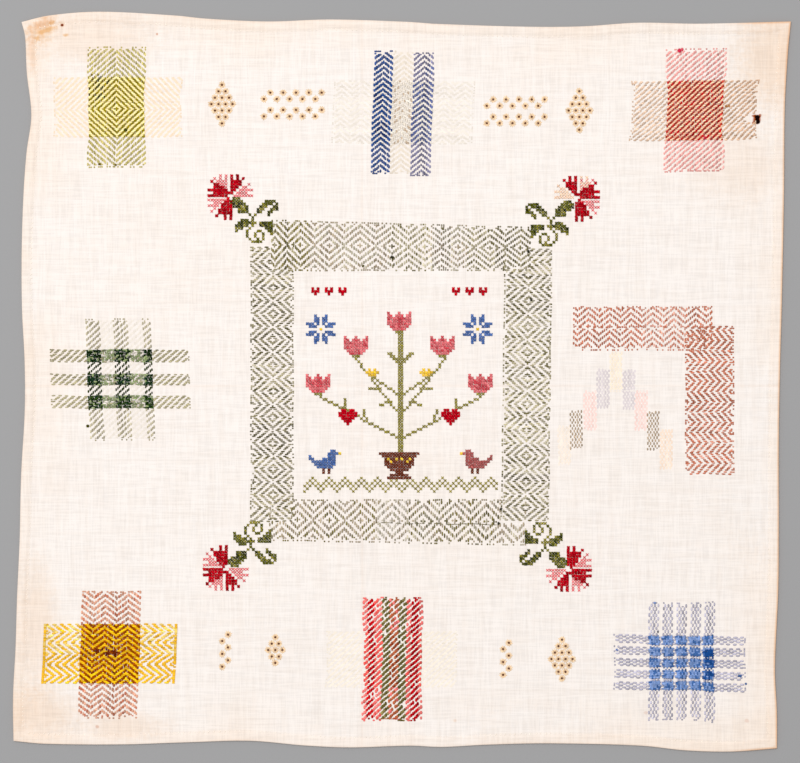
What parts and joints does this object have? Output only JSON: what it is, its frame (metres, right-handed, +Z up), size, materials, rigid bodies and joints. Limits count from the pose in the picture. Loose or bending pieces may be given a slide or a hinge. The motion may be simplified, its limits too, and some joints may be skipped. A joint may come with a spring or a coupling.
{
  "type": "unframed linen darning sampler",
  "caption": "Square hemmed linen cloth lying flat, with raised crosses of pattern darning, a darned square band and cross stitch sprigs at its corners.",
  "frame": {"origin": "under the middle of the cloth, on the surface it lies on", "axes": "+Z up out of the worked side, +Y towards the top edge of the cloth, +X to the right as it is seen from above"},
  "size_m": [0.4, 0.3804, 0.0018],
  "materials": {
    "linen": "plain woven, matt"
  },
  "bodies": {
    "root": {"linen_cloth": "linen"}
  },
  "joints": []
}
